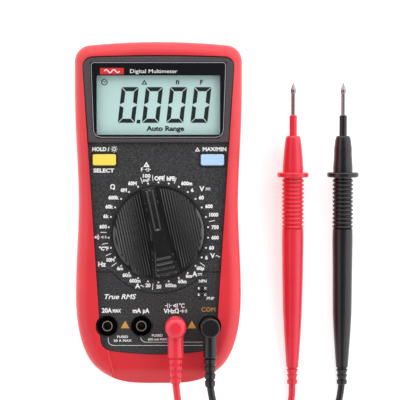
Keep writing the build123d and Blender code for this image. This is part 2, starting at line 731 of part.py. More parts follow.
with BuildPart() as wiper_contacts:
    for turn in (0, 120, 240):
        outward = Vector(1, 0, 0).rotate(Axis.Z, turn)
        across = Vector(0, -1, 0).rotate(Axis.Z, turn)
        with BuildSketch(Plane(origin=DIAL_PLANE.origin, x_dir=outward, z_dir=across)):
            with BuildLine():
                Polyline((6, 30.8), (14, 30.8), (18.5, 24.6), (20, 26))
            trace(line_width=0.35)
        extrude(amount=1.6, both=True)
save(wiper_contacts, "wiper_contacts")

# ================================================================ keys
for key_name, key_x in (("yellow_button", -KEY_X), ("blue_button", KEY_X)):
    with BuildPart() as key:
        with BuildSketch(Plane.XY.offset(38.3)):
            with Locations((key_x, KEY_Y)):
                RectangleRounded(*KEY_SIZE, radius=0.9)
        extrude(amount=KEY_TOP - 38.3)
        fillet(key.faces().sort_by(Axis.Z)[-1].edges(), radius=0.5)
        with BuildSketch(Plane.XY.offset(38.3)):
            with Locations((key_x, KEY_Y)):
                Rectangle(KEY_SIZE[0] + KEY_FLANGE, KEY_SIZE[1] + KEY_FLANGE)
        extrude(amount=1.3)
        with BuildSketch(Plane.XY.offset(37.9)):
            with Locations((key_x, KEY_Y)):
                Circle(2)
        extrude(amount=0.4)
    save(key, key_name)

# ================================================================ test leads


def plug_shell(x, head_r, dome, neck_r, neck_length, relief_length):
    """Right-angle plug: shrouded socket end, upright head, level barrel and ribbed relief."""
    barrel = Plane(origin=(x, JACK_Y, PLUG_Z), x_dir=(0, -1, 0), z_dir=(1, 0, 0))
    upright = Plane(origin=(x, JACK_Y, 0), x_dir=(1, 0, 0), z_dir=(0, -1, 0))
    relief_start = neck_length
    relief_end = neck_length + relief_length
    ribs = 4
    pitch = relief_length / ribs
    with BuildPart() as shell:
        # Barrel and strain relief, turned about the level axis.
        with BuildSketch(barrel):
            with BuildLine():
                outline = [(0, 0), (0, neck_r)]
                outline += [(relief_start - 0.6, neck_r), (relief_start, neck_r - 0.6)]
                for rib in range(ribs):
                    near = relief_start + rib * pitch
                    rib_r = neck_r - 0.35 - (neck_r - 3.0) * rib / ribs
                    outline += [(near + 0.25, rib_r - 0.6), (near + 0.7, rib_r)]
                    outline += [(near + pitch - 0.7, rib_r - 0.15), (near + pitch - 0.25, rib_r - 0.7)]
                outline += [(relief_end, CORD_R + 0.45), (relief_end, 0)]
                Polyline(*outline, close=True)
            make_face()
        revolve(axis=Axis((x, JACK_Y, PLUG_Z), (0, -1, 0)))
        # Upright head.
        with BuildSketch(Plane.XY.offset(43.1)):
            with Locations((x, JACK_Y)):
                Circle(head_r)
        extrude(amount=PLUG_Z + head_r + 2.4 - 43.1)
        fillet(shell.faces().sort_by(Axis.Z)[-1].edges(), radius=dome)
        # Shroud that enters the ring-shaped recess, and the pin's seat.
        with BuildSketch(Plane.XY.offset(BOARD_TOP + 1.8)):
            with Locations((x, JACK_Y)):
                Circle(RECESS_R - 0.3)
        extrude(amount=43.1 - BOARD_TOP - 1.8)
        with BuildSketch(Plane.XY.offset(BOARD_TOP + 1.8)):
            with Locations((x, JACK_Y)):
                Circle(TUBE_R + 0.3)
        extrude(amount=JACK_MOUTH + 0.5 - BOARD_TOP - 1.8, mode=Mode.SUBTRACT)
        with BuildSketch(Plane.XY.offset(JACK_MOUTH)):
            with Locations((x, JACK_Y)):
                Circle(PIN_R)
        extrude(amount=PIN_TOP - JACK_MOUTH, mode=Mode.SUBTRACT)
    return shell


def plug_pin(x):
    """Four-millimetre pin with a rounded end."""
    with BuildPart() as pin:
        with BuildSketch(Plane.XY.offset(BOARD_TOP + 1.4)):
            with Locations((x, JACK_Y)):
                Circle(PIN_R)
        extrude(amount=PIN_TOP - BOARD_TOP - 1.4)
        fillet(pin.faces().sort_by(Axis.Z)[0].edges(), radius=0.9)
    return pin


def cord(route, name):
    """Tube of the cord's size along straight runs joined by tangent arcs."""
    points = [Vector(*point) for point in route]
    radii = []
    for before, here, after in zip(points, points[1:], points[2:]):
        into = here - before
        out = after - here
        half_turn = math.radians(into.get_angle(out)) / 2
        radii.append(0.45 * min(into.length, out.length) / math.tan(half_turn))
    print(name, "radii", [round(radius, 1) for radius in radii])
    with BuildPart() as tube:
        with BuildLine() as line:
            FilletPolyline(*points, radius=radii)
        start = Plane(origin=points[0], z_dir=points[1] - points[0])
        with BuildSketch(start):
            Circle(CORD_R)
        sweep()
    length = line.wire().length
    ratio = tube.part.volume / (math.pi * CORD_R ** 2 * length)
    print(name, "length", round(length, 1), "volume / (section x length)", round(ratio, 4))
    return tube, length


def coil(centre):
    """Outer shape of a round coil of two layers."""
    with BuildPart() as ring:
        with BuildSketch(Plane.XY.offset(COIL_LIFT)):
            with Locations(centre):
                Circle(COIL_R[0] + CORD_R)
                Circle(COIL_R[1] - CORD_R, mode=Mode.SUBTRACT)
        extrude(amount=COIL_HEIGHT)
    return ring


def coil_tie(centre):
    """Strap round the coil's section, on the side away from the meter."""
    middle = (centre[0], centre[1] - (COIL_R[0] + COIL_R[1]) / 2)
    depth = COIL_R[0] - COIL_R[1] + 2 * CORD_R
    with BuildPart() as tie:
        with BuildSketch(Plane.YZ.offset(middle[0])):
            with Locations((middle[1], COIL_LIFT + COIL_HEIGHT / 2)):
                RectangleRounded(depth + 1.2, COIL_HEIGHT + 2 * COIL_LIFT, radius=1)
        extrude(amount=3, both=True)
        with BuildSketch(Plane.XY.offset(COIL_LIFT)):
            with Locations(centre):
                Circle(COIL_R[0] + CORD_R)
                Circle(COIL_R[1] - CORD_R, mode=Mode.SUBTRACT)
        extrude(amount=COIL_HEIGHT, mode=Mode.SUBTRACT)
    return tie


GUARD_R = 8.5
TAIL_R = 2.75
GUARD_AT = 113.6                # distances along the probe from its tail
GRIP_START = 84.7
GRIP_END = 111.7
NEEDLE_ROOT = 122.0
SLEEVE_START = 128.0
HANDLE_END = 134.6
NEEDLE_START = 145.7
NEEDLE_R = 1.2
SHAFT_SLEEVE_R = 2.05
PROBE_TILT = math.asin((GUARD_R - TAIL_R) / GUARD_AT)


def probe_plane(x):
    """Plane through a probe's axis, X along the axis; the probe rests on its tail and guard."""
    rise = (0, math.cos(PROBE_TILT), math.sin(PROBE_TILT))
    return Plane(origin=(x, TAIL_Y, TAIL_R * math.cos(PROBE_TILT) + 0.05), x_dir=rise, z_dir=(1, 0, 0))


def turned(plane, outline):
    """Solid of revolution about a probe plane's X axis, from half its outline."""
    with BuildPart() as solid:
        with BuildSketch(plane):
            with BuildLine():
                Polyline(*outline, close=True)
            make_face()
        revolve(axis=Axis(plane.origin, plane.x_dir))
    return solid


def probe_handle(x, body_r):
    """Handle with strain relief, grip rings, finger guard and tapered nose."""
    outline = [(0, 0), (0, TAIL_R - 0.35), (0.4, TAIL_R)]
    for knuckle in range(3):
        near = 0.4 + 2.9 * knuckle
        knuckle_r = TAIL_R + 0.18 * knuckle
        outline += [(near + 1.9, knuckle_r + 0.1)]
        outline += [(near + 2.2, knuckle_r - 0.5), (near + 2.7, knuckle_r - 0.5)]
    outline += [(9.4, 3.25), (16.2, 3.75), (27, 4.5), (38.8, 5.1), (58, body_r - 0.25), (78.2, body_r)]
    outline += [(GRIP_START - 0.4, body_r - 0.1)]
    rings = 12
    pitch = (GRIP_END - GRIP_START) / rings
    for ring in range(rings):
        near = GRIP_START + ring * pitch
        outline += [(near, body_r - 0.75), (near + 0.45, body_r - 0.05), (near + 0.95, body_r + 0.12)]
        outline += [(near + 1.5, body_r - 0.05), (near + 1.9, body_r - 0.75)]
    outline += [(GUARD_AT - 1.4, body_r - 0.6), (GUARD_AT - 1.3, GUARD_R - 0.5)]
    outline += [(GUARD_AT - 0.8, GUARD_R), (GUARD_AT + 0.8, GUARD_R)]
    outline += [(GUARD_AT + 1.3, GUARD_R - 0.5), (GUARD_AT + 1.4, body_r - 0.3)]
    outline += [(117.5, body_r - 0.25), (123, body_r - 0.65), (128, 4.75), (132, 4.25), (133.8, 3.9)]
    outline += [(HANDLE_END, 3.3), (HANDLE_END, SHAFT_SLEEVE_R), (SLEEVE_START, SHAFT_SLEEVE_R)]
    outline += [(SLEEVE_START, NEEDLE_R), (NEEDLE_ROOT, NEEDLE_R), (NEEDLE_ROOT, 0)]
    return turned(probe_plane(x), outline)


def probe_sleeve(x):
    """Insulating sleeve over the root of the needle."""
    outline = [(SLEEVE_START, NEEDLE_R), (SLEEVE_START, SHAFT_SLEEVE_R)]
    outline += [(NEEDLE_START - 0.4, SHAFT_SLEEVE_R), (NEEDLE_START, SHAFT_SLEEVE_R - 0.4)]
    outline += [(NEEDLE_START, NEEDLE_R)]
    return turned(probe_plane(x), outline)


def probe_tip(x):
    """Steel needle with a small pointed bulge at its end."""
    point = PROBE_LENGTH
    outline = [(NEEDLE_ROOT, 0), (NEEDLE_ROOT, NEEDLE_R), (point - 6.4, NEEDLE_R)]
    outline += [(point - 5.6, 1.5), (point - 4.2, 1.5), (point - 2.2, 0.85), (point - 0.6, 0.3), (point, 0)]
    return turned(probe_plane(x), outline)


# Where each lead goes: its jack, its coil and its probe.  Both cords drop from the plug to
# the surface, enter the coil's upper layer and leave its lower one for the probe.
LOWER = COIL_LIFT + CORD_R
UPPER = COIL_LIFT + 3 * CORD_R
FLAT = CORD_R + 0.01
PROBE_X = {"red": 72.6, "black": 99.5}
RED_COIL = (-17.8, -158.8)
BLACK_COIL = (54.3, -161.6)

RED_DROP = [
    (8.9, -88.9, PLUG_Z),
    (10.3, -98.8, 51.4),
    (11.6, -112.0, 44.4),
    (11.4, -125.0, 27.4),
    (10.2, -136.0, 14.4),
    (9.3, -147.4, 8.2),
    (9.0, -158.8, UPPER),
]
RED_RUN = [
    (-17.8, -132.0, LOWER),
    (0.5, -131.2, 2.0),
    (22.5, -128.6, FLAT),
    (44.5, -127.2, FLAT),
    (61.2, -121.4, FLAT),
    (70.2, -110.6, FLAT),
    (72.5, -100.4, 2.1),
    (72.6, TAIL_Y, TAIL_R),
]
BLACK_DROP = [
    (26.7, -90.6, PLUG_Z),
    (28.8, -100.2, 51.4),
    (30.2, -113.4, 44.4),
    (30.2, -126.4, 27.4),
    (29.0, -137.6, 14.4),
    (27.9, -149.6, 8.2),
    (27.5, -161.6, UPPER),
]
BLACK_RUN = [
    (81.1, -161.6, LOWER),
    (81.6, -147.0, 2.0),
    (85.6, -131.0, FLAT),
    (92.6, -116.0, FLAT),
    (97.8, -104.0, 2.1),
    (99.5, TAIL_Y, TAIL_R),
]

# Jack, the two routes, the coil's centre and turns, plug_shell's sizes and the probe's radius.
LEADS = {
    "red": ("vohm", RED_DROP, RED_RUN, RED_COIL, 5.75, (5.45, 3.6, 4.05, 15.8, 13.2), 5.85),
    "black": ("com", BLACK_DROP, BLACK_RUN, BLACK_COIL, 5.5, (4.95, 0.9, 3.5, 15.8, 14.9), 5.5),
}

for colour, (jack_name, drop, run, coil_centre, turns, shell_sizes, body_r) in LEADS.items():
    jack_x = JACK_X[jack_name]
    save(plug_shell(jack_x, *shell_sizes), f"{colour}_plug_shell")
    save(plug_pin(jack_x), f"{colour}_plug_pin")
    drop_tube, drop_length = cord(drop, f"{colour}_lead_drop")
    save(drop_tube, f"{colour}_lead_drop")
    run_tube, run_length = cord(run, f"{colour}_lead_run")
    save(run_tube, f"{colour}_lead_run")
    save(coil(coil_centre), f"{colour}_lead_coil")
    save(coil_tie(coil_centre), f"{colour}_coil_tie")
    save(probe_handle(PROBE_X[colour], body_r), f"{colour}_probe_handle")
    save(probe_sleeve(PROBE_X[colour]), f"{colour}_probe_sleeve")
    save(probe_tip(PROBE_X[colour]), f"{colour}_probe_tip")
    wound = turns * math.pi * (COIL_R[0] + COIL_R[1])
    print(colour, "lead length", round(drop_length + wound + run_length))
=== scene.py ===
import json
import math

import bmesh
import bpy
from mathutils import Matrix, Vector


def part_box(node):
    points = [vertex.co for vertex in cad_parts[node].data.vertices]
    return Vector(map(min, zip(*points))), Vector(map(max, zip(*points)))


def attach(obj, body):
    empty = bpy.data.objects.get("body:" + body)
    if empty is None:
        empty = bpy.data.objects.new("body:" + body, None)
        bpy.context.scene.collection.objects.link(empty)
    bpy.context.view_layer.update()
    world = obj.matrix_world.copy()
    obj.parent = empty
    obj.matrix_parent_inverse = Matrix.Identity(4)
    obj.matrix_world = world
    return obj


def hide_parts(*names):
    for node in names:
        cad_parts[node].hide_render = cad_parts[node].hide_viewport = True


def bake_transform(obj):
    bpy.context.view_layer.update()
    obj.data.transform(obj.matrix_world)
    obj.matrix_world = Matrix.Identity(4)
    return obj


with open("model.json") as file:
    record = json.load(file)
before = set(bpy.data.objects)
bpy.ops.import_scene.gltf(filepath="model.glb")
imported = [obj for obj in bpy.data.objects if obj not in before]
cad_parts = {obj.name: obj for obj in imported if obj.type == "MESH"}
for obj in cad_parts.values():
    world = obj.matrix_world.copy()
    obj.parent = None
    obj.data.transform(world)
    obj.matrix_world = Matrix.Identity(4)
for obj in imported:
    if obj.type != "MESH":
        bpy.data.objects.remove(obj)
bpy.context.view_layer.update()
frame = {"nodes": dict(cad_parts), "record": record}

# Handheld multimeter on its back, with two test leads.  Lengths are written in millimetres
# and turned into metres by MM.
MM = 0.001
METER = "meter"

# ---------------------------------------------------------------- heights and places from the frame
BEZEL_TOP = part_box("window_frame")[1].z / MM
DISPLAY_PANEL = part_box("front_cover")[1].z / MM
DIAL_PANEL = DISPLAY_PANEL - 1.8
JACK_PANEL = DISPLAY_PANEL - 2.2
GLASS_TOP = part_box("lcd_glass")[1].z / MM
KNOB_LOW, KNOB_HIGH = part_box("selector_knob")
KNOB_X = (KNOB_LOW.x + KNOB_HIGH.x) / 2 / MM
KNOB_Y = (KNOB_LOW.y + KNOB_HIGH.y) / 2 / MM
KNOB_R = (KNOB_HIGH.x - KNOB_LOW.x) / 2 / MM
KNOB_TURN = 12.0
KNOB_BASE = DIAL_PANEL + 0.4
JACK_Y = (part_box("jack_sleeve_ma")[0].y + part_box("jack_sleeve_ma")[1].y) / 2 / MM
CORD_D = 3.7
FONT_CAP = 0.69


# ================================================================ materials
def principled(name, colour, roughness, **sockets):
    """New node material; returns it with its node tree and its Principled shader."""
    material = bpy.data.materials.new(name)
    material.use_nodes = True
    tree = material.node_tree
    shader = tree.nodes["Principled BSDF"]
    shader.inputs["Base Color"].default_value = (*colour, 1)
    shader.inputs["Roughness"].default_value = roughness
    for socket, value in sockets.items():
        shader.inputs[socket.replace("_", " ")].default_value = value
    return material, tree, shader


def noise(tree, scale, detail=3.0, roughness=0.5):
    """Noise texture in the object's own coordinates, scale in cycles per metre."""
    place = tree.nodes.new("ShaderNodeTexCoord")
    texture = tree.nodes.new("ShaderNodeTexNoise")
    texture.inputs["Scale"].default_value = scale
    texture.inputs["Detail"].default_value = detail
    texture.inputs["Roughness"].default_value = roughness
    tree.links.new(place.outputs["Object"], texture.inputs["Vector"])
    return texture.outputs["Fac"]


def spread(tree, factor, low, high):
    """Maps a 0.3 to 0.7 factor to the range low to high."""
    change = tree.nodes.new("ShaderNodeMapRange")
    change.inputs["From Min"].default_value = 0.3
    change.inputs["From Max"].default_value = 0.7
    change.inputs["To Min"].default_value = low
    change.inputs["To Max"].default_value = high
    tree.links.new(factor, change.inputs["Value"])
    return change.outputs["Result"]


def vary_colour(tree, shader, factor, first, second):
    """Base colour that drifts between two colours."""
    mix = tree.nodes.new("ShaderNodeMix")
    mix.data_type = "RGBA"
    mix.inputs["A"].default_value = (*first, 1)
    mix.inputs["B"].default_value = (*second, 1)
    tree.links.new(spread(tree, factor, 0, 1), mix.inputs["Factor"])
    tree.links.new(mix.outputs["Result"], shader.inputs["Base Color"])


def grain(tree, shader, factor, depth, strength=1.0):
    """Bump of the given depth in millimetres."""
    bump = tree.nodes.new("ShaderNodeBump")
    bump.inputs["Strength"].default_value = strength
    bump.inputs["Distance"].default_value = depth * MM
    tree.links.new(factor, bump.inputs["Height"])
    tree.links.new(bump.outputs["Normal"], shader.inputs["Normal"])


def moulded(name, colour, roughness, pitch, depth, drift=0.15, **sockets):
    """Moulded surface: a fine grain of the given pitch, slow drift in colour and in roughness."""
    material, tree, shader = principled(name, colour, roughness, **sockets)
    slow = noise(tree, 45, 2)
    lighter = [min(1, channel * (1 + drift)) for channel in colour]
    darker = [channel * (1 - drift) for channel in colour]
    vary_colour(tree, shader, slow, darker, lighter)
    fine = noise(tree, 1000 / pitch, 2)
    handled = spread(tree, noise(tree, 300, 4), roughness * 0.88, roughness * 1.12)
    tree.links.new(handled, shader.inputs["Roughness"])
    grain(tree, shader, fine, depth)
    return material


def speckled(name, colour, speck, roughness):
    """Spark-eroded black plastic: fine pits with pale specks between them."""
    material, tree, shader = principled(name, colour, roughness)
    fine = noise(tree, 1400, 2, 0.6)
    ramp = tree.nodes.new("ShaderNodeMapRange")
    ramp.inputs["From Min"].default_value = 0.42
    ramp.inputs["From Max"].default_value = 0.72
    tree.links.new(fine, ramp.inputs["Value"])
    mix = tree.nodes.new("ShaderNodeMix")
    mix.data_type = "RGBA"
    mix.inputs["A"].default_value = (*colour, 1)
    mix.inputs["B"].default_value = (*speck, 1)
    tree.links.new(ramp.outputs["Result"], mix.inputs["Factor"])
    tree.links.new(mix.outputs["Result"], shader.inputs["Base Color"])
    tree.links.new(spread(tree, fine, roughness * 1.1, roughness * 0.85), shader.inputs["Roughness"])
    grain(tree, shader, fine, 0.05)
    return material


def metal(name, colour, roughness):
    """Plated or drawn metal with faint handling marks."""
    material, tree, shader = principled(name, colour, roughness, Metallic=1.0)
    handled = spread(tree, noise(tree, 900, 5, 0.7), roughness * 0.7, roughness * 1.5)
    tree.links.new(handled, shader.inputs["Roughness"])
    grain(tree, shader, noise(tree, 2500, 2), 0.004)
    return material


def clear_window(name):
    """Thin clear acrylic: lets light straight through and keeps a soft gloss."""
    material, tree, shader = principled(name, (0.02, 0.025, 0.025), 0.06, Alpha=0.05)
    tree.links.new(spread(tree, noise(tree, 60, 2), 0.04, 0.09), shader.inputs["Roughness"])
    return material


MATERIALS = {
    "boot_rubber": moulded("boot_rubber", (0.70, 0.028, 0.04), 0.36, 0.5, 0.01, 0.05),
    "case_black": speckled("case_black", (0.013, 0.0125, 0.014), (0.068, 0.065, 0.07), 0.55),
    "case_black_rear": moulded("case_black_rear", (0.028, 0.028, 0.03), 0.6, 0.9, 0.05, 0.15),
    # The display facing's lighter tone is partly its own brownish grey and partly a painted reflection of
    # the raised face.
    "display_panel": speckled("display_panel", (0.055, 0.042, 0.047), (0.10, 0.08, 0.088), 0.5),
    "bezel_gloss": moulded("bezel_gloss", (0.006, 0.006, 0.009), 0.12, 1.5, 0.001, 0.1),
    "lcd_surface": moulded("lcd_surface", (0.60, 0.84, 0.81), 0.35, 0.4, 0.002, 0.03),
    "knob_black": moulded(
        "knob_black", (0.004, 0.004, 0.005), 0.24, 0.3, 0.003, 0.12, Specular_IOR_Level=1.0
    ),
    "jack_plastic": moulded("jack_plastic", (0.012, 0.012, 0.013), 0.3, 0.5, 0.006, 0.12),
    "key_yellow": moulded("key_yellow", (0.93, 0.72, 0.10), 0.4, 0.5, 0.004, 0.03),
    "key_blue": moulded("key_blue", (0.46, 0.66, 0.90), 0.4, 0.5, 0.004, 0.03),
    "red_lead_plastic": moulded("red_lead_plastic", (0.76, 0.03, 0.055), 0.22, 0.6, 0.003, 0.05),
    "black_lead_plastic": moulded("black_lead_plastic", (0.011, 0.011, 0.013), 0.24, 0.6, 0.003, 0.1),
    "red_cord": moulded("red_cord", (0.74, 0.028, 0.05), 0.26, 0.8, 0.004, 0.05),
    "black_cord": moulded("black_cord", (0.012, 0.012, 0.014), 0.28, 0.8, 0.004, 0.1),
    "stand_plastic": moulded("stand_plastic", (0.03, 0.03, 0.032), 0.55, 0.9, 0.04, 0.15),
    "tie_black": moulded("tie_black", (0.03, 0.03, 0.032), 0.85, 0.35, 0.08, 0.25),
    "contact_nickel": metal("contact_nickel", (0.33, 0.30, 0.31), 0.25),
    "contact_brass": metal("contact_brass", (0.20, 0.15, 0.08), 0.3),
    "copper_wire": metal("copper_wire", (0.80, 0.46, 0.30), 0.3),
    "screw_steel": metal("screw_steel", (0.42, 0.40, 0.41), 0.3),
    "window_clear": clear_window("window_clear"),
    "white_plastic": moulded("white_plastic", (0.78, 0.78, 0.75), 0.45, 0.5, 0.01, 0.03),
    "boot_rubber_grey": moulded("boot_rubber_grey", (0.2, 0.2, 0.2), 0.6, 0.3, 0.02, 0.1),
    "board_green": moulded("board_green", (0.015, 0.15, 0.06), 0.3, 0.8, 0.01, 0.2),
    "chip_black": moulded("chip_black", (0.015, 0.015, 0.015), 0.5, 0.3, 0.01, 0.1),
    "ptc_orange": moulded("ptc_orange", (0.72, 0.28, 0.04), 0.5, 0.8, 0.02, 0.1),
    "fuse_ceramic": moulded("fuse_ceramic", (0.82, 0.81, 0.77), 0.4, 0.5, 0.01, 0.04),
    "battery_skin": moulded("battery_skin", (0.05, 0.07, 0.18), 0.3, 1.2, 0.004, 0.1),
    "print_white": moulded("print_white", (0.90, 0.90, 0.90), 0.5, 0.3, 0.003, 0.03),
    "print_amber": moulded("print_amber", (0.62, 0.31, 0.055), 0.5, 0.3, 0.003, 0.12),
    "print_red": moulded("print_red", (0.62, 0.02, 0.025), 0.45, 0.3, 0.003, 0.05),
    # Light grey for the painted highlights on the window frame's edge and on the jack tubes' rims.
    "painted_rim_highlight": moulded("painted_rim_highlight", (0.30, 0.30, 0.32), 0.2, 0.5, 0.002, 0.1),
    "print_black": moulded("print_black", (0.008, 0.012, 0.013), 0.45, 0.3, 0.003, 0.05),
}


def finish_cad_nodes():
    """Gives every CAD node the material of its slot."""
    for part in frame["record"]["subparts"]:
        node = frame["nodes"][part["node"]]
        wanted = MATERIALS[part["material_slot"]]
        for place in node.material_slots:
            place.material = wanted


# ================================================================ mesh helpers
def piece(name, mesh, material, body):
    """Object from a mesh, painted, and riding on a body."""
    made = bpy.data.objects.new(name, mesh)
    bpy.context.scene.collection.objects.link(made)
    mesh.materials.append(MATERIALS[material])
    if body:
        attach(made, body)
    return made


def smooth(mesh, angle=35):
    """Smooth shading with edges sharper than the angle kept."""
    mesh.shade_smooth()
    mesh.set_sharp_from_angle(angle=math.radians(angle))


def quarter_turn(first, last, steps=8):
    """Angles in radians from first to last, both in degrees."""
    return [math.radians(first + (last - first) * i / steps) for i in range(steps + 1)]


class Print:
    """Flat printed marks at one height, collected into one mesh."""

    def __init__(self, z, thick=0.03):
        self.z = z
        self.thick = thick
        self.mesh = bmesh.new()

    def shape(self, outline):
        """Closed prism over an outline given in millimetres."""
        low = [self.mesh.verts.new((x * MM, y * MM, self.z * MM)) for x, y in outline]
        high = [self.mesh.verts.new((x * MM, y * MM, (self.z + self.thick) * MM)) for x, y in outline]
        self.mesh.faces.new(high)
        self.mesh.faces.new(low[::-1])
        for i in range(len(outline)):
            j = (i + 1) % len(outline)
            self.mesh.faces.new((low[i], low[j], high[j], high[i]))

    def line(self, points, width):
        """Stroke of even width along a polyline."""
        count = len(points)
        left, right = [], []
        for i in range(count):
            before = Vector(points[max(i - 1, 0)])
            after = Vector(points[min(i + 1, count - 1)])
            along = (after - before).normalized()
            across = Vector((-along.y, along.x)) * width / 2
            here = Vector(points[i])
            left.append(tuple(here + across))
            right.append(tuple(here - across))
        self.shape(right + left[::-1])

    def disc(self, x, y, radius, sides=20):
        turn = [2 * math.pi * i / sides for i in range(sides)]
        self.shape([(x + radius * math.cos(t), y + radius * math.sin(t)) for t in turn])

    def ring(self, x, y, radius, width, start=0, end=360, sides=24):
        turn = [math.radians(start + (end - start) * i / sides) for i in range(sides + 1)]
        self.line([(x + radius * math.cos(t), y + radius * math.sin(t)) for t in turn], width)

    def outline(self, points, width):
        """Closed stroke round a polygon, with mitred corners."""
        count = len(points)
        inner = []
        for i in range(count):
            before, here, after = (Vector(points[(i + k) % count]) for k in (-1, 0, 1))
            into = (here - before).normalized()
            out = (after - here).normalized()
            normal = Vector((-into.y - out.y, into.x + out.x)).normalized()
            reach = width / max(0.2, normal.dot(Vector((-into.y, into.x))))
            inner.append(tuple(here + normal * reach))
        for i in range(count):
            j = (i + 1) % count
            self.shape([points[i], points[j], inner[j], inner[i]])

    def triangle(self, x, y, width, height, stroke):
        """Outlined triangle, point up, centred at x, y."""
        corners = [(x - width / 2, y - height / 2), (x + width / 2, y - height / 2), (x, y + height / 2)]
        self.outline(corners, stroke)

    def diode(self, x, y, size, width):
        """Diode sign: arrowhead on a line, against a bar."""
        half = size / 2
        bar_x = x + half + width / 2
        self.shape([(x - half, y - half), (x + half, y), (x - half, y + half)])
        self.line([(bar_x, y - half), (bar_x, y + half)], width)
        self.line([(x - size, y), (x + size, y)], width)

    def plates(self, x, y, size, width):
        """Capacitor sign: two plates with their leads."""
        for side in (-1, 1):
            near = x + side * size * 0.22
            self.line([(near, y - size / 2), (near, y + size / 2)], width)
            self.line([(near, y), (near + side * size * 0.55, y)], width)

    def wave(self, x, y, length, height, width):
        """One cycle of a sine wave."""
        steps = 16
        points = []
        for i in range(steps + 1):
            part = i / steps
            points.append((x + length * (part - 0.5), y + height * math.sin(2 * math.pi * part)))
        self.line(points, width)

    def direct(self, x, y, length, gap, width):
        """Direct-current sign: a line over three dashes."""
        self.line([(x - length / 2, y + gap), (x + length / 2, y + gap)], width)
        dash = length / 4
        for i in (-1, 0, 1):
            middle = x + i * length * 0.375
            self.line([(middle - dash / 2, y - gap), (middle + dash / 2, y - gap)], width)

    def words(self, text, x, y, cap, width=None, slant=0.0, bold=0.03):
        """Lettering centred at x, y, with capitals of height cap, stretched to width if given."""
        curve = bpy.data.curves.new("lettering", "FONT")
        curve.body = text
        curve.size = cap / FONT_CAP * MM
        curve.shear = slant
        curve.offset = bold * cap * MM
        curve.extrude = self.thick / 2 * MM
        curve.resolution_u = 3
        holder = bpy.data.objects.new("lettering", curve)
        made = bpy.data.meshes.new_from_object(holder)
        across = [vertex.co.x for vertex in made.vertices]
        middle = (min(across) + max(across)) / 2
        stretch = width * MM / (max(across) - min(across)) if width else 1.0
        centred = Matrix.Diagonal((stretch, 1, 1, 1)) @ Matrix.Translation((-middle, -cap / 2 * MM, 0))
        made.transform(Matrix.Translation((x * MM, y * MM, (self.z + self.thick / 2) * MM)) @ centred)
        self.mesh.from_mesh(made)
        bpy.data.meshes.remove(made)
        bpy.data.objects.remove(holder)
        bpy.data.curves.remove(curve)

    def done(self, name, material, body=METER):
        mesh = bpy.data.meshes.new(name)
        self.mesh.to_mesh(mesh)
        self.mesh.free()
        return piece(name, mesh, material, body)


# ================================================================ display
def segment_zero(marks, x, y, width, height, stroke, slant):
    """Seven-segment zero with its lower left corner at x, y, its middle segment unlit."""
    gap = 0.28
    half = stroke / 2
    middle = height / 2

    def lean(points):
        marks.shape([(x + px + slant * py, y + py) for px, py in points])

    def level(low, upper):
        """Level segment, longer on its outer side."""
        a, b = gap, width - gap
        outer_y = low + (stroke if upper else 0)
        inner_y = low + (0 if upper else stroke)
        edge = [(a, outer_y), (b, outer_y), (b - stroke, inner_y), (a + stroke, inner_y)]
        lean(edge[::-1] if upper else edge)

    def upright(right, upper):
        """Upright segment, longer on its outer side, with a mitred end at the digit's corner."""
        outer = width if right else 0
        inner = width - stroke if right else stroke
        if upper:
            corner, near = height - gap, middle + gap
            edge = [(outer, near), (outer, corner), (inner, corner - stroke), (inner, near + half)]
        else:
            corner, near = gap, middle - gap
            edge = [(outer, near), (outer, corner), (inner, corner + stroke), (inner, near - half)]
        lean(edge)

    level(height - stroke, True)
    level(0, False)
    for right in (True, False):
        upright(right, True)
        upright(right, False)


def display_marks():
    """Reading, annunciators and range word on the liquid crystal."""
    marks = Print(GLASS_TOP, 0.02)
    slant = math.tan(math.radians(6.5))
    first_x, low_y, pitch = -21.2, 47.2, 12.6
    width, height, stroke = 8.9, 18.6, 2.15
    for place in range(4):
        segment_zero(marks, first_x + place * pitch, low_y, width, height, stroke, slant)
    marks.shape([(-11.4, 46.9), (-9.5, 46.9), (-9.3, 48.8), (-11.2, 48.8)])
    marks.words("Auto Range", 3.55, 44.3, 2.4, 19.7, bold=0.06)
    # Automatic power-off clock.
    marks.ring(-28.1, 68.4, 1.45, 0.5, 75, 385)
    marks.line([(-28.7, 68.9), (-28.1, 68.2), (-26.7, 69.8)], 0.42)
    marks.triangle(-7.3, 68.4, 3.2, 2.6, 0.5)
    marks.words("n", 10.0, 68.8, 2.9, 1.7, bold=0.05)
    marks.words("F", 22.4, 68.4, 2.2, 1.5, bold=0.06)
    marks.done("display_marks", "print_black")


# ================================================================ printing
# Ranges clockwise from the top, with the middle of each label from the dial's centre.
RANGES = (
    ("OFF", 0.5, 28.1),
    ("hFE", 6.5, 28.0),
    ("600m", 14.7, 25.5),
    ("6", 17.6, 22.0),
    ("60", 22.3, 18.1),
    ("600", 26.3, 13.6),
    ("1000", 28.8, 9.2),
    ("750", 29.5, 2.7),
    ("600", 29.5, -2.7),
    ("60", 27.6, -8.0),
    ("6", 25.0, -13.1),
    ("60µ", 21.8, -18.6),
    ("6m", 15.8, -22.6),
    ("60m", 12.4, -25.5),
    ("600m", 6.4, -27.5),
    ("20", 0.2, -28.2),
    ("20", -5.4, -27.5),
    ("600m", -12.2, -25.1),
    ("60m", -16.4, -22.2),
    ("6m", -20.0, -18.7),
    ("10M", -24.9, -14.3),
    ("°C°F", -28.4, -8.4),
    (None, -29.4, -2.5),
    ("600", -28.7, 3.0),
    ("6k", -27.2, 8.4),
    ("60k", -25.5, 13.4),
    ("600k", -23.3, 18.1),
    ("6M", -18.0, 22.0),
    ("60M", -13.5, 25.5),
    (None, -6.2, 27.2),
)
GROUP_EDGES = (0.5, 1.5, 6.5, 10.5, 15.5, 19.5, 20.5, 21.5, 22.5, 28.5, 29.5)
DOT_R = 26.0
STROKE = 0.36


def around_dial(position, radius):
    """Point at a clockwise dial position, counted from the top."""
    angle = math.radians(90 - position * 360 / len(RANGES))
    return KNOB_X + radius * math.cos(angle), KNOB_Y + radius * math.sin(angle)


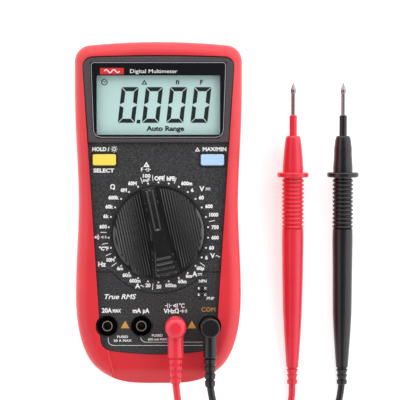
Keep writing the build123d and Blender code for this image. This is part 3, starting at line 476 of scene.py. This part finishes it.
def from_dial(x, y):
    """Point given from the dial's centre."""
    return KNOB_X + x, KNOB_Y + y


def dial_printing():
    """Dots, ranges, separators and function signs round the selector."""
    ink = Print(DIAL_PANEL)
    for position, (label, x, y) in enumerate(RANGES):
        ink.disc(*around_dial(position, DOT_R), 0.5)
        if label:
            cap = 2.0 if position < 2 else 1.75
            ink.words(label, *from_dial(x, y), cap, bold=0.08)
    for edge in GROUP_EDGES:
        ink.line([around_dial(edge, DOT_R + 0.8), around_dial(edge, DOT_R + 4.0)], STROKE)
    # Capacitance position.
    ink.words("100", *from_dial(-6.1, 29.4), 1.75, 4.0, bold=0.05)
    ink.words("mF", *from_dial(-6.3, 27.2), 1.6, 3.5, bold=0.05)
    ink.words("F", *from_dial(-8.5, 32.7), 1.9)
    ink.plates(*from_dial(-5.5, 32.7), 2.0, STROKE)
    ink.triangle(*from_dial(-6.2, 35.4), 3.3, 2.7, 0.62)
    # Buzzer and diode position.
    ink.diode(*from_dial(-28.4, -2.5), 1.5, 0.42)
    ink.disc(*from_dial(-32.7, -2.5), 0.6)
    for radius in (1.05, 1.75):
        ink.ring(*from_dial(-32.7, -2.5), radius, 0.42, -50, 50, 8)
    # Function signs.
    ink.words("Ω", *from_dial(-23.8, 23.6), 2.4, bold=0.05)
    ink.words("V", *from_dial(22.6, 22.7), 2.5, bold=0.05)
    ink.direct(*from_dial(25.8, 22.6), 2.4, 0.4, STROKE)
    ink.words("V", *from_dial(28.2, -12.1), 2.4, bold=0.05)
    ink.wave(*from_dial(31.0, -12.4), 2.2, 0.45, STROKE)
    ink.words("Hz", *from_dial(-29.3, -16.5), 2.4, bold=0.05)
    ink.words("A", *from_dial(18.9, -21.6), 2.4, bold=0.05)
    ink.direct(*from_dial(21.6, -21.8), 2.2, 0.36, STROKE)
    ink.words("A", *from_dial(-10.8, -27.8), 2.4, bold=0.05)
    ink.wave(*from_dial(-8.4, -27.9), 1.8, 0.4, STROKE)
    key_labels(ink)
    ink.done("dial_printing", "print_white")


def key_labels(ink):
    """Words over and under the two keys."""
    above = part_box("yellow_button")[1].y / MM + 2.1
    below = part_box("yellow_button")[0].y / MM - 2.0
    ink.words("HOLD /", -29.9, above, 1.9, 8.9, bold=0.06)
    sun_x = -23.0
    ink.ring(sun_x, above, 0.75, 0.36)
    for ray in range(8):
        turn = math.radians(45 * ray)
        aim = Vector((math.cos(turn), math.sin(turn)))
        sun = Vector((sun_x, above))
        ink.line([tuple(sun + aim * 1.15), tuple(sun + aim * 1.75)], 0.34)
    ink.words("SELECT", -28.4, below, 1.9, 10.8, bold=0.06)
    ink.triangle(20.3, above - 0.1, 2.6, 2.2, 0.4)
    ink.words("MAX/MIN", 29.2, above, 1.9, 12.4, bold=0.06)


SOCKET_LETTERS = (
    ("B", -1.7, 1.7),
    ("C", 1.7, 1.7),
    ("B", -1.7, -1.7),
    ("C", 1.7, -1.7),
)


def jack_printing():
    """Marks beside the jacks and the transistor socket."""
    ink = Print(JACK_PANEL)
    ink.words("True RMS", -19.8, -43.2, 2.4, 16.4, slant=0.25, bold=0.03)
    ink.words("20A", -26.8, -50.4, 2.2, 5.3, bold=0.06)
    ink.words("MAX", -21.6, -50.6, 1.7, 4.3, bold=0.06)
    ink.words("mA", -11.2, -50.5, 2.2, 4.3, bold=0.06)
    ink.words("µA", -6.4, -50.5, 2.2, 3.4, bold=0.06)
    ink.plates(5.2, -47.9, 2.2, STROKE)
    ink.outline([(9.3, -49.0), (9.3, -46.8), (7.4, -47.9)], STROKE)
    ink.line([(9.9, -49.0), (9.9, -46.8)], STROKE)
    ink.words("°C", 12.2, -47.9, 2.2, 2.8)
    ink.words("VHzΩ", 6.7, -50.7, 2.2, 8.0, bold=0.05)
    ink.diode(13.2, -50.7, 1.9, 0.45)
    socket_x = (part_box("transistor_socket")[0].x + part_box("transistor_socket")[1].x) / 2 / MM
    socket_y = (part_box("transistor_socket")[0].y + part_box("transistor_socket")[1].y) / 2 / MM
    ink.words("NPN", socket_x + 0.4, socket_y + 5.4, 1.5, 4.0)
    ink.words("PNP", socket_x + 4.4, socket_y - 3.6, 1.5, 4.0)
    fuse_guides(ink)
    ink.done("jack_printing", "print_white")
    letters = Print(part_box("transistor_socket")[1].z / MM)
    for letter, x, y in SOCKET_LETTERS:
        letters.words(letter, socket_x + x, socket_y + y, 1.1, bold=0.06)
    letters.done("socket_letters", "print_white")
    amber = Print(JACK_PANEL)
    amber.words("COM", 26.0, -49.9, 2.2, 7.2, bold=0.0)
    for x in (-17.3, 17.4):
        amber.shape([(x - 2.3, JACK_Y - 1.2), (x + 2.3, JACK_Y - 1.2), (x, JACK_Y + 2.8)])
    amber.done("jack_printing_amber", "print_amber")


def jack_rim_highlights():
    """Thin light rings inside the two free jacks: painted highlights on the insulating tubes' rims."""
    for name in ("20a", "ma"):
        low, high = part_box(f"jack_sleeve_{name}")
        rim = Print(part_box("jack_insulators")[1].z / MM - 0.02, 0.03)
        rim.ring((low.x + high.x) / 2 / MM, (low.y + high.y) / 2 / MM, 2.45, 0.26)
        rim.done(f"jack_{name}_rim", "painted_rim_highlight")


def fuse_guides(ink):
    """Fuse ratings under the jacks, joined to them by thin lines."""
    top_y = JACK_Y - 5.2
    end_x = 23.0
    radius = 2.6
    for x, bend_y in ((-26.1, -66.0), (-9.2, -64.3)):
        bend = [
            (x + radius - radius * math.cos(t), bend_y - radius * math.sin(t))
            for t in (0, 0.4, 0.8, 1.2, math.pi / 2)
        ]
        ink.line([(x, top_y)] + bend, 0.24)
        ink.line([bend[-1], (end_x, bend_y - radius)], 0.2)
    for words, x, y, width in (
        ("FUSED", -18.6, -64.1, 5.6),
        ("20 A MAX", -18.6, -66.1, 9.4),
        ("FUSED", -0.6, -63.4, 5.6),
        ("600 mA MAX", -0.4, -65.4, 10.0),
    ):
        ink.words(words, x, y, 1.15, width)


BADGE_X, BADGE_Y = -24.1, 73.9


def window_rim_highlight():
    """Thin light line round the window frame: a painted highlight on its raised edge."""
    right = [(33.4 + 1.5 * math.cos(t), 76.85 + 1.5 * math.sin(t)) for t in quarter_turn(90, 0)]
    right += [(29.5 + 4.2 * math.cos(t), 43.8 + 4.2 * math.sin(t)) for t in quarter_turn(0, -90)]
    left = [(-x, y) for x, y in reversed(right)]
    rim = Print(BEZEL_TOP, 0.03)
    rim.line(right + left + right[:1], 0.34)
    rim.done("window_rim_highlight", "painted_rim_highlight")


def header_printing():
    """Plain header words and a small sine-wave badge above the display."""
    ink = Print(BEZEL_TOP, 0.02)
    ink.words("Digital Multimeter", -2.4, 73.9, 1.95, 24.6, bold=0.0)
    for side in (-1, 1):
        ink.wave(BADGE_X + side * 2.0, BADGE_Y, 4.0, 0.8, 0.45)
    ink.done("header_printing", "print_white")
    badge = Print(BEZEL_TOP - 0.01, 0.02)
    half_length, half_height, corner = 6.2, 1.65, 0.5
    outline = []
    for sx, sy, first in ((1, 1, 0), (-1, 1, 90), (-1, -1, 180), (1, -1, 270)):
        for step in range(5):
            turn = math.radians(first + 22.5 * step)
            x = sx * (half_length - corner) + corner * math.cos(turn)
            y = sy * (half_height - corner) + corner * math.sin(turn)
            outline.append((BADGE_X + x, BADGE_Y + y))
    badge.shape(outline)
    badge.done("header_badge", "print_red")


DISPLAY_EDGE_Y = 37.3


def panel_half_width(y):
    """Half width of the raised panel's flat top at y."""
    return 29.6 + (y + 70.5) * (39.7 - 29.6) / (83.0 + 70.5) - 0.55


def display_panel_skin():
    """Lighter, raised facing of the panel round the window; its lighter tone is partly its own brownish
    grey and partly painted reflection of the raised face.
    """
    low_y, high_y, corner, crown = DISPLAY_EDGE_Y, 80.85, 4.5, 0.8
    centre_x = panel_half_width(high_y) - corner
    outline = [(panel_half_width(low_y), low_y)]
    for turn in quarter_turn(0, 90):
        outline.append((centre_x + corner * math.cos(turn), high_y - corner + corner * math.sin(turn)))
    outline += [(centre_x * i / 6, high_y + crown * (1 - (i / 6) ** 2)) for i in range(5, 0, -1)]
    right = outline
    left = [(-x, y) for x, y in reversed(outline)]
    skin = bmesh.new()
    z = (DISPLAY_PANEL + 0.02) * MM
    outer = [skin.verts.new((x * MM, y * MM, z)) for x, y in right + left]
    hole = [(35.5, 78.9), (34.2, 43.0), (31.6, 39.0), (-31.6, 39.0), (-34.2, 43.0), (-35.5, 78.9)]
    inner = [skin.verts.new((x * MM, y * MM, z)) for x, y in hole]
    edges = []
    for ring in (outer, inner):
        edges += [skin.edges.new(pair) for pair in zip(ring, ring[1:] + ring[:1])]
    bmesh.ops.triangle_fill(skin, use_beauty=True, use_dissolve=False, edges=edges, normal=(0, 0, 1))
    mesh = bpy.data.meshes.new("display_panel_skin")
    skin.to_mesh(mesh)
    skin.free()
    made = piece("display_panel_skin", mesh, "display_panel", METER)
    thick = made.modifiers.new("thickness", "SOLIDIFY")
    thick.thickness = 0.02 * MM
    thick.offset = -1


# ================================================================ selector knob
KNOB_DEPTH = KNOB_HIGH.z / MM - KNOB_BASE
KNOB_RIM = 2.9                  # height of the knob's rim over its base
LOBE_FLOOR = 1.0                # height of the lobes beside the bar
RIB_PITCH = 1.35
RIB_DEPTH = 0.13
GRIP_LINES = (-13.4, -16.1, -18.8, -21.5)


def clamp(value):
    return max(0.0, min(1.0, value))


def ease(value):
    """Smooth step from 0 to 1."""
    value = clamp(value)
    return value * value * (3 - 2 * value)


def bar_half_width(y):
    """Half width of the grip bar: even along the pointer, flaring towards the other end."""
    return 2.35 + 0.155 * max(0.0, 1.0 - y)


def knob_height(x, y):
    """Height over the knob's base at a point in the knob's own axes, pointer along +Y."""
    radius = math.hypot(x, y)
    half = bar_half_width(y)
    outside = abs(x) - half
    # Scooped lobe: deep beside the bar, rising to the rim, with ribs along the bar.
    away = clamp(outside / (KNOB_R - half))
    low_end = clamp((8.0 - y) / 30.0)
    lobe = LOBE_FLOOR + (2.9 + 1.6 * low_end) * away ** 1.8
    rib_room = ease((outside - 1.2) / 2.5) * ease((KNOB_R - 1.0 - radius) / 1.0)
    lobe += RIB_DEPTH * rib_room * math.cos(2 * math.pi * x / RIB_PITCH)
    # Grip bar, with the pointer's groove and grip lines.
    crest = KNOB_DEPTH - 0.004 * (y + 2.0) ** 2
    groove = ease((1.15 - abs(x)) / 0.35) * ease((y - 1.2) / 0.8)
    crest -= 0.8 * groove
    lip = ease((1.75 - abs(x)) / 0.3) * ease((abs(x) - 1.1) / 0.3) * ease((y - 0.8) / 0.8)
    crest += 0.12 * lip
    for line in GRIP_LINES:
        crest -= 0.4 * ease((0.5 - abs(y - line)) / 0.4) * ease((half - 0.9 - abs(x)) / 0.4)
    rise = ease((outside + 0.15) / (0.8 if x > 0 else 1.6))
    height = crest + (lobe - crest) * rise
    # The bar's ends round down to the rim, and a lip runs round the knob.
    end = ease((radius - (KNOB_R - 2.2)) / 1.6)
    return height + (min(height, KNOB_RIM) - height) * end


def knob_row(y, columns):
    """X places along one row of the knob, with columns gathered on the bar's two edges."""
    reach = math.sqrt(max(0.0, KNOB_R * KNOB_R - y * y))
    half = min(bar_half_width(y), 0.6 * reach)
    bar_share = 0.18
    places = []
    for i in range(columns + 1):
        share = 2 * i / columns - 1
        if abs(share) < bar_share:
            places.append(share / bar_share * half)
        else:
            outer = (abs(share) - bar_share) / (1 - bar_share)
            places.append(math.copysign(half + outer * (reach - half), share))
    return places


def selector_knob():
    """Knob with a flared grip bar, sunk pointer line and ribbed lobes."""
    columns, rows = 200, 250
    body = bmesh.new()

    def point(x, y, z):
        return body.verts.new((x * MM, y * MM, (KNOB_BASE + z) * MM))

    grid = [[point(0, -KNOB_R, knob_height(0, -KNOB_R))]]
    for j in range(1, rows):
        y = -KNOB_R * math.cos(math.pi * j / rows)
        grid.append([point(x, y, knob_height(x, y)) for x in knob_row(y, columns)])
    grid.append([point(0, KNOB_R, knob_height(0, KNOB_R))])
    for near, far in zip(grid, grid[1:]):
        for i in range(columns):
            if len(near) == 1:
                body.faces.new((near[0], far[i], far[i + 1]))
            elif len(far) == 1:
                body.faces.new((near[i], far[0], near[i + 1]))
            else:
                body.faces.new((near[i], far[i], far[i + 1], near[i + 1]))
    # Side wall down to the base.
    inner = grid[1:-1]
    ring = grid[0] + [row[0] for row in inner] + grid[-1] + [row[-1] for row in reversed(inner)]
    foot = [body.verts.new((vertex.co.x, vertex.co.y, KNOB_BASE * MM)) for vertex in ring]
    for i in range(len(ring)):
        j = (i + 1) % len(ring)
        body.faces.new((ring[i], foot[i], foot[j], ring[j]))
    body.faces.new(foot)
    bmesh.ops.recalc_face_normals(body, faces=body.faces)
    mesh = bpy.data.meshes.new("selector_knob_grip")
    body.to_mesh(mesh)
    body.free()
    in_place = Matrix.Translation((KNOB_X * MM, KNOB_Y * MM, 0))
    mesh.transform(in_place @ Matrix.Rotation(math.radians(KNOB_TURN), 4, "Z"))
    smooth(mesh, 50)
    made = piece("selector_knob_grip", mesh, "knob_black", "selector")
    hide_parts("selector_knob")


# ================================================================ cords
RED_DROP = [
    (8.85, -84.5, 52.0),
    (8.9, -87.8, 52.0),
    (10.3, -98.8, 51.4),
    (11.6, -112.0, 44.4),
    (11.4, -125.0, 27.4),
    (10.2, -136.0, 14.4),
    (9.3, -147.4, 8.2),
]
RED_RUN = [
    (0.5, -131.2, 2.0),
    (22.5, -128.6, 1.86),
    (44.5, -127.2, 1.86),
    (61.2, -121.4, 1.86),
    (70.2, -110.6, 1.86),
    (72.5, -100.4, 2.1),
    (72.6, -92.8, 2.75),
    (72.6, -89.5, 2.95),
]
BLACK_DROP = [
    (26.55, -86.5, 52.0),
    (26.6, -89.65, 52.0),
    (28.8, -100.2, 51.4),
    (30.2, -113.4, 44.4),
    (30.2, -126.4, 27.4),
    (29.0, -137.6, 14.4),
    (27.9, -149.6, 8.2),
]
BLACK_RUN = [
    (81.6, -147.0, 2.0),
    (85.6, -131.0, 1.86),
    (92.6, -116.0, 1.86),
    (97.8, -104.0, 2.1),
    (99.5, -92.8, 2.75),
    (99.5, -89.5, 2.95),
]
COIL_OUTER = 26.8
COIL_INNER = 16.2
COIL_LIFT = 0.6
POINTS_PER_TURN = 16


def coil_points(node, turns, start, direction):
    """Centreline of a coil of two layers: in along the upper one, out along the lower one."""
    low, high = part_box(node)
    centre_x = (low.x + high.x) / 2 / MM
    centre_y = (low.y + high.y) / 2 / MM
    upper = COIL_LIFT + 1.5 * CORD_D
    lower = COIL_LIFT + 0.5 * CORD_D
    count = round(turns * POINTS_PER_TURN)
    points = []
    for i in range(count + 1):
        part = i / count
        inward = 1 - abs(2 * part - 1)
        radius = COIL_OUTER - (COIL_OUTER - COIL_INNER) * inward
        sink = max(0.0, min(1.0, (part - 0.47) / 0.06))
        turn = math.radians(start) + direction * 2 * math.pi * turns * part
        x = centre_x + radius * math.cos(turn)
        y = centre_y + radius * math.sin(turn)
        points.append((x, y, upper + (lower - upper) * sink))
    return points


def lead_cord(colour, drop, run, turns, start, direction):
    """One lead's cord from its plug, through its coil, to its probe."""
    route = drop + coil_points(f"{colour}_lead_coil", turns, start, direction) + run
    curve = bpy.data.curves.new(f"{colour}_cord", "CURVE")
    curve.dimensions = "3D"
    spline = curve.splines.new("NURBS")
    spline.points.add(len(route) - 1)
    for point, (x, y, z) in zip(spline.points, route):
        point.co = (x * MM, y * MM, z * MM, 1)
    spline.order_u = 3
    spline.use_endpoint_u = True
    spline.resolution_u = 6
    holder = bpy.data.objects.new("route", curve)
    line = bpy.data.meshes.new_from_object(holder)
    curve.bevel_depth = CORD_D / 2 * MM
    curve.bevel_resolution = 6
    curve.use_fill_caps = True
    tube = bpy.data.meshes.new_from_object(holder)
    tube.materials.clear()
    bpy.data.objects.remove(holder)
    smooth(tube, 60)
    made = piece(f"{colour}_cord", tube, f"{colour}_cord", None)
    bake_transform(made)
    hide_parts(f"{colour}_lead_drop", f"{colour}_lead_coil", f"{colour}_lead_run")


def coil_strap(colour):
    """Woven strap round a coil's section."""
    low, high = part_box(f"{colour}_coil_tie")
    middle_x = (low.x + high.x) / 2
    half_y = (high.y - low.y) / 2 - 0.02 * MM
    middle_y = (low.y + high.y) / 2
    half_z = (high.z - low.z) / 2 - 0.02 * MM
    middle_z = (low.z + high.z) / 2
    corner, thick, half_width = 2.2 * MM, 0.5 * MM, 2.8 * MM
    outline = []
    for sy, sz, first in ((1, 1, 0), (-1, 1, 90), (-1, -1, 180), (1, -1, 270)):
        for step in range(7):
            turn = math.radians(first + 15 * step)
            outline.append((sy * (half_y - corner), sz * (half_z - corner), math.cos(turn), math.sin(turn)))
    # Across the strap: outer face with eased edges, then the inner face.
    eased = corner - 0.12 * MM
    inner = corner - thick
    profile = ((-1, eased), (-0.9, corner), (0.9, corner), (1, eased), (1, inner), (-1, inner))
    strap = bmesh.new()
    sections = []
    for y, z, out_y, out_z in outline:
        section = []
        for share, reach in profile:
            place = (
                middle_x + share * half_width,
                middle_y + y + reach * out_y,
                middle_z + z + reach * out_z,
            )
            section.append(strap.verts.new(place))
        sections.append(section)
    for here, there in zip(sections, sections[1:] + sections[:1]):
        for i in range(len(here)):
            j = (i + 1) % len(here)
            strap.faces.new((here[i], here[j], there[j], there[i]))
    bmesh.ops.recalc_face_normals(strap, faces=strap.faces)
    mesh = bpy.data.meshes.new(f"{colour}_coil_strap")
    strap.to_mesh(mesh)
    strap.free()
    smooth(mesh, 40)
    made = piece(f"{colour}_coil_strap", mesh, "tie_black", METER)
    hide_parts(f"{colour}_coil_tie")


# ================================================================ stage
RING_LIGHT = 1.55
CEILING_LIGHT = 0.12


def studio_world(scene):
    """Ring of soft light round a dark ceiling, stronger from the meter's upper right."""
    world = bpy.data.worlds.new("studio")
    scene.world = world
    world.use_nodes = True
    tree = world.node_tree

    def math_node(operation, first, second):
        node = tree.nodes.new("ShaderNodeMath")
        node.operation = operation
        for socket, value in zip(node.inputs, (first, second)):
            if isinstance(value, (int, float)):
                socket.default_value = value
            else:
                tree.links.new(value, socket)
        return node.outputs["Value"]

    place = tree.nodes.new("ShaderNodeTexCoord")
    split = tree.nodes.new("ShaderNodeSeparateXYZ")
    tree.links.new(place.outputs["Generated"], split.inputs["Vector"])
    ceiling = tree.nodes.new("ShaderNodeMapRange")
    ceiling.interpolation_type = "SMOOTHSTEP"
    ceiling.inputs["From Min"].default_value = 0.72
    ceiling.inputs["From Max"].default_value = 0.95
    ceiling.inputs["To Min"].default_value = RING_LIGHT
    ceiling.inputs["To Max"].default_value = CEILING_LIGHT
    tree.links.new(split.outputs["Z"], ceiling.inputs["Value"])
    along = math_node("MULTIPLY", split.outputs["Y"], 0.45)
    across = math_node("MULTIPLY", split.outputs["X"], 0.2)
    lean = math_node("ADD", math_node("ADD", along, across), 1.0)
    light = math_node("MULTIPLY", ceiling.outputs["Result"], lean)
    seen = tree.nodes.new("ShaderNodeLightPath")
    shown = math_node("MAXIMUM", seen.outputs["Is Camera Ray"], light)
    tree.nodes["Background"].inputs["Color"].default_value = (1, 1, 1, 1)
    tree.links.new(shown, tree.nodes["Background"].inputs["Strength"])


def stage():
    """Pale floor, soft light, and a camera straight above."""
    scene = bpy.context.scene
    scene.view_settings.view_transform = "Standard"
    floor_mesh = bpy.data.meshes.new("floor")
    reach = 3.0
    corners = [(-reach, -reach, 0), (reach, -reach, 0), (reach, reach, 0), (-reach, reach, 0)]
    floor_mesh.from_pydata(corners, [], [(0, 1, 2, 3)])
    floor = bpy.data.objects.new("floor", floor_mesh)
    floor.location.z = -0.0005
    scene.collection.objects.link(floor)
    paper = moulded("floor_paper", (0.95, 0.95, 0.95), 0.9, 2.0, 0.01, 0.01, Specular_IOR_Level=0.1)
    shader = paper.node_tree.nodes["Principled BSDF"]
    shader.inputs["Emission Color"].default_value = (1, 1, 1, 1)
    shader.inputs["Emission Strength"].default_value = 0.5
    floor_mesh.materials.append(paper)

    studio_world(scene)

    camera = bpy.data.cameras.new("camera")
    camera.sensor_width = 36
    camera.shift_x = 0.104
    height, seen, level = 0.95, 0.212, 0.025
    camera.lens = camera.sensor_width * (height - level) / seen
    camera.clip_end = 20
    holder = bpy.data.objects.new("camera", camera)
    holder.location = (0, 0.00705, height)
    scene.collection.objects.link(holder)
    scene.camera = holder


stage()
finish_cad_nodes()
for lead_colour in ("red", "black"):
    coil_strap(lead_colour)
lead_cord("red", RED_DROP, RED_RUN, 5.75, 0, -1)
lead_cord("black", BLACK_DROP, BLACK_RUN, 5.5, 180, 1)
selector_knob()
display_panel_skin()
display_marks()
dial_printing()
jack_printing()
header_printing()
window_rim_highlight()
jack_rim_highlights()
